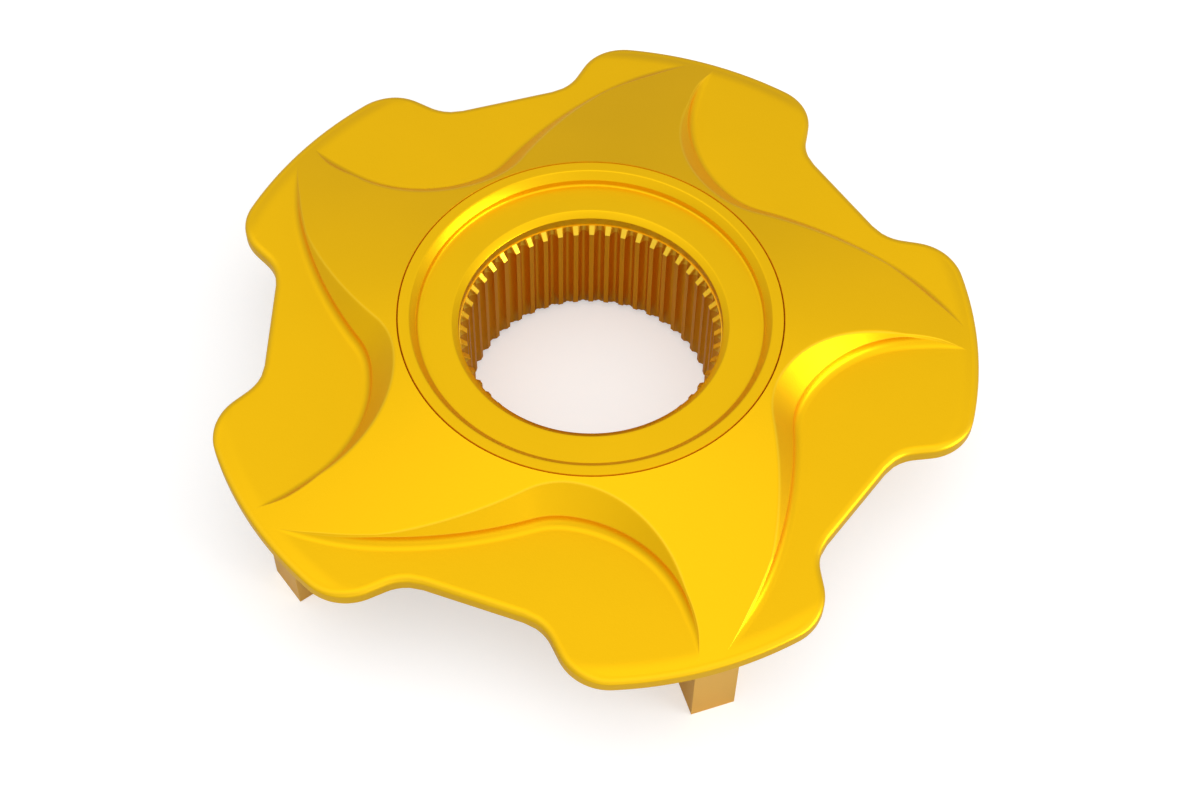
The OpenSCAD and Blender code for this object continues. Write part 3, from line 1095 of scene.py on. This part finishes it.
@dataclass
class Hub:
    """The barrel with its flange, spigot, nut recess and plain bore, and the splined sleeve in it."""

    layout: Layout
    counterbore_r: float = 25.05
    counterbore_chamfer_w: float = 1.25
    counterbore_chamfer_h: float = 0.9
    seat_w: float = 6.55
    recess_depth: float = 2.7
    recess_chamfer: float = 1.35
    recess_fillet: float = 0.45
    spigot_break: float = 0.14
    edge_break: float = 0.5
    teeth: int = 48
    tooth_tip_r: float = 23.55
    tooth_depth: float = 1.35
    tip_share: float = 0.30
    tooth_phase: float = 1.2
    tooth_lead_in: float = 1.3
    lead_in_edge: float = 0.12
    tooth_run_out: float = 1.1
    tooth_steps: int = 14
    round_columns: int = 240
    pin_count: int = 6
    pin_chamfer: float = 0.3
    hole_gap: float = 0.12
    arch_power: float = 0.85
    flank_power: float = 1.3
    tooth_rows: int = 6
    guard: float = 0.4
    chamfer_round: float = 0.15
    mouth_round: float = 0.12
    foot_round: float = 0.2
    root_w: float = 0.8
    root_round: float = 0.6

    @property
    def pin_reach(self) -> float:
        """Half the angle that a pin takes up on the joint between sleeve and barrel."""
        return math.degrees(2 * math.asin(self.layout.pin_d / 4 / self.layout.sleeve_r))

    @property
    def pin_angles(self) -> np.ndarray:
        """Bearings of the pins."""
        return np.arange(self.pin_count) * 360 / self.pin_count

    def columns(self, angles: np.ndarray) -> np.ndarray:
        """Bearings with those where a pin's hole starts and ends added, rising from just below 0.

        Args:
            angles: bearings in any order.

        Returns:
            The bearings, without any that lie right beside a hole's end.
        """
        ends = np.concatenate([self.pin_angles - self.pin_reach, self.pin_angles + self.pin_reach]) % 360
        apart = np.abs((angles[:, None] - ends[None] + 180) % 360 - 180).min(axis=1)
        return np.sort(np.concatenate([angles[apart > self.hole_gap], ends]))

    def scalloped(self, angles: np.ndarray, outward: bool) -> np.ndarray:
        """Joint circle that leaves its round at each pin and follows the pin's own circle instead.

        Args:
            angles: bearings of the columns.
            outward: whether it takes the outer half of the pin's circle or the inner half.

        Returns:
            Plan points.
        """
        nearest = np.round(angles / (360 / self.pin_count)) * (360 / self.pin_count)
        across = (angles - nearest) / self.pin_reach
        wide = 90 + self.pin_reach / 2 * (1 if outward else -1)
        way = across * wide if outward else 180 - across * wide
        on_pin = self.layout.sleeve_r * ray(nearest) + self.layout.pin_d / 2 * ray(nearest + way)
        plain = self.layout.sleeve_r * ray(angles)
        return np.where((np.abs(across) <= 1 + 1e-6)[:, None], on_pin, plain)

    def ring_of_holes(self, shell: Shell, lower: tuple[np.ndarray, np.ndarray],
                      upper: tuple[np.ndarray, np.ndarray]) -> None:
        """Adds the two faces of the hub flange with their through holes, and the holes' walls.

        Args:
            shell: the mesh so far.
            lower: outer and inner edge of the lower face.
            upper: outer and inner edge of the upper face.
        """
        plan = self.layout
        lows, highs = [], []
        for places, wide in ((plan.hub_screw_places, plan.screw_hole_d),
                             (plan.hub_dowel_places, plan.dowel_d)):
            for x, y in places:
                ring = circle(x, y, wide / 2, plan.round_steps)
                lows.append(lifted(ring, plan.hub_flange_z))
                highs.append(lifted(ring, plan.plate_z))
                shell.grid(np.stack([lows[-1], highs[-1]]), closed=True)
        for (outer, inner), holes in ((lower, lows), (upper, highs)):
            shell.cap(outer, [inner] + holes)

    def barrel(self) -> bpy.types.Object:
        """Barrel, turned from a profile with rounded corners, with pin scallops at its lower end.

        Returns:
            The object.
        """
        plan = self.layout
        recess_z = plan.land_z - self.recess_depth
        mouth_z = recess_z - self.counterbore_chamfer_h
        mouth_r = self.counterbore_r + self.counterbore_chamfer_w
        recess_r = mouth_r + self.seat_w
        angles = self.columns(np.arange(self.round_columns) * 360 / self.round_columns)
        top = rounded([
            (plan.spigot_r, plan.plate_z, 0),
            (plan.spigot_r, plan.land_z - 2 * self.spigot_break, 0),
            (plan.spigot_r - self.spigot_break, plan.land_z, 0),
            (plan.spigot_r - 3 * self.spigot_break, plan.land_z, 0),
            (recess_r + self.recess_chamfer + self.guard, plan.land_z, 0),
            (recess_r + self.recess_chamfer, plan.land_z, self.chamfer_round),
            (recess_r, plan.land_z - self.recess_chamfer, self.chamfer_round),
            (recess_r, recess_z, self.recess_fillet),
            (recess_r - 2 * self.recess_fillet, recess_z, 0),
            (mouth_r + self.guard, recess_z, 0),
            (mouth_r, recess_z, self.mouth_round),
            (self.counterbore_r, mouth_z, self.mouth_round),
            (self.counterbore_r, plan.sleeve_top, 0),
            (plan.sleeve_r, plan.sleeve_top, 0),
            (plan.sleeve_r, plan.pin_top, 0)])
        shell = Shell()
        upper = revolve(top, angles)
        shell.grid(upper, closed=True)
        scallop = self.scalloped(angles, outward=True)
        foot = lifted((plan.barrel_r - self.edge_break) * ray(angles), 0.0)
        lower = np.stack([upper[-1], lifted(scallop, plan.pin_top), lifted(scallop, 0.0), foot])
        shell.grid(lower, closed=True)
        outside = revolve(rounded([
            (plan.barrel_r - self.edge_break, 0, 0),
            (plan.barrel_r, self.edge_break, self.foot_round),
            (plan.barrel_r, plan.hub_flange_z - self.root_w, 0),
            (plan.barrel_r, plan.hub_flange_z, self.root_round),
            (plan.barrel_r + self.root_w, plan.hub_flange_z, 0)]), angles)
        shell.grid(outside, closed=True)
        flange = revolve(rounded([
            (plan.hub_flange_r - self.edge_break, plan.hub_flange_z, 0),
            (plan.hub_flange_r, plan.hub_flange_z + self.edge_break, self.chamfer_round),
            (plan.hub_flange_r, plan.plate_z, 0)]), angles)
        shell.grid(flange, closed=True)
        self.ring_of_holes(shell, (flange[0], outside[-1]), (flange[-1], upper[0]))
        return shell.build("hub_barrel_surface")

    def tooth_radius(self, angles: np.ndarray) -> np.ndarray:
        """Radius of the toothed bore: flat tips, and gaps whose flanks and root are a sine arch.

        Args:
            angles: bearings.

        Returns:
            The radius at each bearing.
        """
        phase = (angles - self.tooth_phase) * self.teeth / 360
        from_tip = np.abs(phase - np.round(phase))
        share = np.clip((from_tip - self.tip_share / 2) / (0.5 - self.tip_share / 2), 0, 1)
        return self.tooth_tip_r + self.tooth_depth * np.sin(share * math.pi / 2) ** self.arch_power

    def sleeve(self) -> bpy.types.Object:
        """Splined sleeve: the toothed bore, its chamfered ends and the pins' inner halves outside.

        Returns:
            The object.
        """
        plan = self.layout
        part = self.tip_share / 2
        flank = part + (0.5 - part) * np.linspace(0, 1, self.tooth_steps // 2) ** self.flank_power
        phase = np.concatenate([-flank[::-1], [0.0], flank[:-1]])
        pitch = 360 / self.teeth
        angles = (self.tooth_phase + pitch * (np.arange(self.teeth)[:, None] + phase[None])).ravel() % 360
        angles = self.columns(angles)
        bore = self.tooth_radius(angles)
        way = ray(angles)
        joint = plan.sleeve_r * way
        scallop = self.scalloped(angles, outward=False)
        toothed = bore[:, None] * way
        eased, run_out = (np.maximum(bore, self.tooth_tip_r + past)[:, None] * way
                          for past in (self.tooth_lead_in, self.tooth_run_out))
        lead_z = plan.sleeve_top - self.tooth_lead_in
        rows = [lifted(scallop, plan.sleeve_low), lifted(scallop, plan.pin_top), lifted(joint, plan.pin_top),
                lifted(joint, plan.sleeve_top), lifted(eased, plan.sleeve_top), lifted(toothed, lead_z)]
        inner = np.linspace(lead_z - self.lead_in_edge, plan.sleeve_low + self.tooth_run_out,
                            self.tooth_rows)
        rows += [lifted(toothed, height) for height in inner]
        rows += [lifted(run_out, plan.sleeve_low), rows[0]]
        shell = Shell()
        # painted highlight on the lead-in chamfer at the tops of the teeth
        edge_highlight = np.zeros(len(rows))
        edge_highlight[4:6] = 1
        shell.grid(np.stack(rows), edge_highlight[:, None], closed=True)
        return shell.build("spline_sleeve_surface")

    def pins(self) -> bpy.types.Object:
        """The six pins on the joint between sleeve and barrel."""
        return turned_pins("sleeve_pins_surface", self.layout.sleeve_r * ray(self.pin_angles),
                           self.layout.pin_d, self.layout.sleeve_low, self.layout.pin_top, self.pin_chamfer)


def turned_pins(name: str, places: np.ndarray, wide: float, low: float, high: float,
                chamfer: float) -> bpy.types.Object:
    """Pins or dowels: a cylinder with a chamfer at each end, at each place.

    Args:
        name: of the piece.
        places: plan points.
        wide: diameter.
        low: height of the lower end.
        high: height of the upper end.
        chamfer: leg of the chamfers.

    Returns:
        The object.
    """
    radius = wide / 2
    profile = rounded([(0, low, 0), (radius - chamfer, low, PIN_ROUND), (radius, low + chamfer, PIN_ROUND),
                       (radius, high - chamfer, PIN_ROUND), (radius - chamfer, high, PIN_ROUND),
                       (0, high, 0)], 3)
    shell = Shell()
    for place in places:
        shell.spun(profile, place, PIN_COLUMNS)
    return shell.build(name)


# ---------------------------------------------------------------- dogs and fasteners

@dataclass
class Fasteners:
    """Cap screws and dowels that hold the dogs and the hub under the plate."""

    layout: Layout
    head_d: float = 7.0
    head_round: float = 0.5
    socket_af: float = 3.0
    socket_depth: float = 2.0
    socket_chamfer: float = 0.25
    thread_l: float = 4.0
    dowel_down: float = 7.0
    dowel_chamfer: float = 0.3
    columns: int = 48
    thread_chamfer: float = 0.4
    seat_round: float = 0.12
    round_points: int = 4
    socket_flare: float = 0.3
    socket_point: float = 0.5

    def screws(self, name: str, places: np.ndarray, seat_z: float, grip: float) -> bpy.types.Object:
        """Cap screws pointing up: shank, head with a rounded rim, and a hexagon socket.

        The socket's radius is half its width across flats over the cosine of the bearing from
        the nearest flat.

        Args:
            name: of the piece.
            places: plan points of the screws.
            seat_z: height of the face under the heads.
            grip: thickness that the shank passes through before it enters the plate.

        Returns:
            The object.
        """
        shank, head = self.layout.screw_d / 2, self.head_d / 2
        end_z, face_z = seat_z + grip + self.thread_l, seat_z - HEAD_H
        profile = rounded([(0, end_z, 0), (shank - self.thread_chamfer, end_z, 0),
                           (shank, end_z - self.thread_chamfer, 0), (shank, seat_z, 0),
                           (head, seat_z, self.seat_round), (head, face_z, self.head_round),
                           (head - 2 * self.head_round, face_z, 0)], self.round_points)
        angles = np.arange(self.columns) * 360 / self.columns
        flat = self.socket_af / 2
        hexagon = flat / np.cos(np.radians((angles + 30) % 60 - 30))
        corner = flat / math.cos(math.radians(30))
        mouth = np.maximum(hexagon, corner) + self.socket_chamfer * self.socket_flare
        bottom_z = face_z + self.socket_depth
        outside = revolve(profile, angles)
        rings = [(mouth, face_z), (hexagon, face_z + self.socket_chamfer), (hexagon, bottom_z),
                 (0 * hexagon, bottom_z + self.socket_point)]
        socket = np.stack([lifted(radius[:, None] * ray(angles), height) for radius, height in rings])
        whole = np.concatenate([outside, socket])
        # painted highlight on the rim of the head's face and the socket's mouth
        edge_highlight = np.zeros(len(whole))
        edge_highlight[-6:-2] = 1
        shell = Shell()
        for x, y in places:
            shell.grid(whole + np.array([x, y, 0.0]), edge_highlight[:, None], closed=True)
        return shell.build(name)

    def build(self) -> dict[str, bpy.types.Object]:
        """Makes every fastener.

        Returns:
            Each piece under the node that it stands for.
        """
        plan = self.layout
        return {
            "dog_screws": self.screws("dog_screws_surface", plan.dog_screw_places, plan.foot_z,
                                      plan.plate_z - plan.foot_z),
            "hub_screws": self.screws("hub_screws_surface", plan.hub_screw_places, plan.hub_flange_z,
                                      plan.plate_z - plan.hub_flange_z),
            "dog_dowels": turned_pins("dog_dowels_surface", plan.dog_dowel_places, plan.dowel_d,
                                      plan.plate_z - self.dowel_down, plan.plate_z + plan.dowel_depth,
                                      self.dowel_chamfer),
            "hub_dowels": turned_pins("hub_dowels_surface", plan.hub_dowel_places, plan.dowel_d,
                                      plan.hub_flange_z, plan.plate_z + plan.dowel_depth,
                                      self.dowel_chamfer),
        }


@dataclass
class DriveDogs:
    """The five dogs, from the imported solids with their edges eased."""

    layout: Layout
    edge_round: float = 0.22
    segments: int = 3

    def dog(self, node: str) -> bpy.types.Object:
        """Copy of a packed dog with merged faces and a narrow bevel on its edges.

        Args:
            node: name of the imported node.

        Returns:
            The object.
        """
        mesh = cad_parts[node].data.copy()
        mesh.name = node + "_eased"
        weld(mesh, merge_flat=True)
        piece = placed(mesh.name, mesh)
        bevel = piece.modifiers.new("eased_edges", "BEVEL")
        bevel.width = self.edge_round * MM
        bevel.segments = self.segments
        bevel.limit_method = "ANGLE"
        bevel.angle_limit = math.radians(SHARP)
        bevel.harden_normals = True
        return piece

    def build(self) -> dict[str, bpy.types.Object]:
        """Makes the five dogs and returns each under the node that it stands for."""
        nodes = [f"drive_dog_{k + 1}" for k in range(self.layout.lobes)]
        return {node: self.dog(node) for node in nodes}


# ---------------------------------------------------------------- studio

@dataclass(frozen=True)
class Glow:
    """Part of the sky's light: brightest towards a direction, falling as a power of the cosine."""

    towards: tuple[float, float, float]
    power: float
    strength: float


SKY = (
    Glow((0.0, 0.0, 1.0), 1.0, 0.65),
    Glow((0.0, 0.0, 1.0), 5.0, 0.80),
    Glow((1.0, 0.0, 0.0), 1.0, 0.50),
    Glow((-1.0, 0.0, 0.0), 1.0, 0.60),
    Glow((1.0, 0.0, 0.0), 5.0, 0.20),
    Glow((0.0, -1.0, 0.0), 5.0, 1.10),
    Glow((0.0, 1.0, 0.0), 5.0, 0.40),
    Glow((0.707, -0.707, 0.0), 5.0, 0.25),
)


@dataclass
class Studio:
    """Pale floor, soft light from all round, and the camera."""

    floor_size: float = 6000.0
    floor_colour: tuple[float, float, float] = (0.62, 0.62, 0.62)
    floor_glow: float = 0.48
    target_z: float = 23.1
    stand: float = 405.3
    elevation: float = 54.54
    azimuth: float = 1.03
    aim: tuple[float, float] = (2.22, -14.86)
    roll: float = 1.30
    lens: float = 63.58
    sensor: float = 36.0
    clip: tuple[float, float] = (0.01, 50.0)
    floor_roughness: float = 0.9
    floor_shine: float = 0.1
    lamp_place: tuple[float, float, float] = (1.10, -0.40, 0.42)
    lamp_size: tuple[float, float] = (0.7, 0.35)
    lamp_power: float = 6.0

    def camera(self) -> None:
        """Camera on a sphere round the middle of the plate, aimed a little nearer and rolled."""
        data = bpy.data.cameras.new("camera")
        data.lens = self.lens
        data.sensor_width = self.sensor
        data.clip_start, data.clip_end = self.clip
        camera = placed("camera", data)
        out = ray(self.azimuth - 90) * math.cos(math.radians(self.elevation))
        up = math.sin(math.radians(self.elevation))
        place = Vector((*out, up)) * self.stand + Vector((0, 0, self.target_z))
        look = Vector((*self.aim, self.target_z)) - place
        turn = look.to_track_quat("-Z", "Y").to_matrix().to_4x4()
        tilt = Matrix.Rotation(math.radians(self.roll), 4, "Z")
        camera.matrix_world = Matrix.Translation(place * MM) @ turn @ tilt
        bpy.context.scene.camera = camera

    def floor(self) -> None:
        """Level white floor: its own glow is only seen directly, so it lights nothing from below."""
        half = self.floor_size * MM / 2
        mesh = bpy.data.meshes.new("studio_floor")
        corners = [(-half, -half, 0), (half, -half, 0), (half, half, 0), (-half, half, 0)]
        mesh.from_pydata(corners, [], [(0, 1, 2, 3)])
        floor = placed("studio_floor", mesh)
        paint = bpy.data.materials.new("studio_paint")
        paint.use_nodes = True
        shader = paint.node_tree.nodes["Principled BSDF"]
        shader.inputs["Base Color"].default_value = (*self.floor_colour, 1)
        shader.inputs["Roughness"].default_value = self.floor_roughness
        shader.inputs["Specular IOR Level"].default_value = self.floor_shine
        shader.inputs["Emission Color"].default_value = (1, 1, 1, 1)
        path = paint.node_tree.nodes.new("ShaderNodeLightPath")
        glow = paint.node_tree.nodes.new("ShaderNodeMath")
        glow.operation = "MULTIPLY"
        glow.inputs[1].default_value = self.floor_glow
        paint.node_tree.links.new(path.outputs["Is Camera Ray"], glow.inputs[0])
        paint.node_tree.links.new(glow.outputs[0], shader.inputs["Emission Strength"])
        mesh.materials.append(paint)

    @staticmethod
    def lamp(name: str, place: tuple[float, float, float], size: tuple[float, float],
             power: float) -> None:
        """Soft box that faces the middle of the plate.

        Args:
            name: of the light.
            place: in metres.
            size: width and height in metres.
            power: in watts.
        """
        data = bpy.data.lights.new(name, "AREA")
        data.shape = "RECTANGLE"
        data.size, data.size_y = size
        data.energy = power
        lamp = placed(name, data)
        lamp.location = place
        lamp.rotation_euler = (-Vector(place)).to_track_quat("-Z", "Y").to_euler()

    def world(self) -> None:
        """Sky whose strength is the sum of its glows: strength x max(0, direction . towards) ^ power."""
        world = bpy.data.worlds.new("studio_world")
        bpy.context.scene.world = world
        world.use_nodes = True
        nodes, links = world.node_tree.nodes, world.node_tree.links
        direction = nodes.new("ShaderNodeTexCoord").outputs["Generated"]
        back = nodes["Background"]
        back.inputs["Color"].default_value = (1, 1, 1, 1)
        total: bpy.types.NodeSocket | None = None
        for glow in SKY:
            cosine = nodes.new("ShaderNodeVectorMath")
            cosine.operation = "DOT_PRODUCT"
            cosine.inputs[1].default_value = glow.towards
            links.new(direction, cosine.inputs[0])
            facing, fall, share = (nodes.new("ShaderNodeMath") for _ in range(3))
            facing.operation, fall.operation, share.operation = "MAXIMUM", "POWER", "MULTIPLY_ADD"
            facing.inputs[1].default_value = 0.0
            fall.inputs[1].default_value = glow.power
            share.inputs[1].default_value = glow.strength
            share.inputs[2].default_value = 0.0
            links.new(cosine.outputs["Value"], facing.inputs[0])
            links.new(facing.outputs[0], fall.inputs[0])
            links.new(fall.outputs[0], share.inputs[0])
            if total is not None:
                links.new(total, share.inputs[2])
            total = share.outputs[0]
        links.new(total, back.inputs["Strength"])

    def build(self) -> None:
        """Sets the whole studio and a plain view transform."""
        self.camera()
        self.floor()
        self.world()
        self.lamp("side_box", self.lamp_place, self.lamp_size, self.lamp_power)
        bpy.context.scene.view_settings.view_transform = "Standard"


# ---------------------------------------------------------------- assembly

def settle(piece: bpy.types.Object, node: str, finish: Finish, material: bpy.types.Material) -> None:
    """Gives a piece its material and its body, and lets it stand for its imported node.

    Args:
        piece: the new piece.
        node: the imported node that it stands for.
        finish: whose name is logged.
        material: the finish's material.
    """
    piece.data.materials.clear()
    piece.data.materials.append(material)
    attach(piece, ROOT)
    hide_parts(node)
    LOG.info("%s stands for %s with %s", piece.name, node, finish.name)


def main() -> None:
    """Builds the studio and every sub-assembly in order."""
    logging.basicConfig(level=logging.INFO, format="%(message)s")
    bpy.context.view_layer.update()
    layout = Layout()
    groups = NodeGroups()
    materials = {key: finish.material(groups) for key, finish in FINISHES.items()}
    Studio().build()

    hub = Hub(layout)
    pieces = {"star_plate": (StarPlate(layout).build(), "plate"), "hub_barrel": (hub.barrel(), "hub"),
              "spline_sleeve": (hub.sleeve(), "spline"), "sleeve_pins": (hub.pins(), "pin")}
    for node, piece in Fasteners(layout).build().items():
        pieces[node] = (piece, "screw" if "screws" in node else "pin")
    for node, piece in DriveDogs(layout).build().items():
        pieces[node] = (piece, "dog")
    for node, (piece, key) in pieces.items():
        settle(piece, node, FINISHES[key], materials[key])


if __name__ == "__main__":
    main()
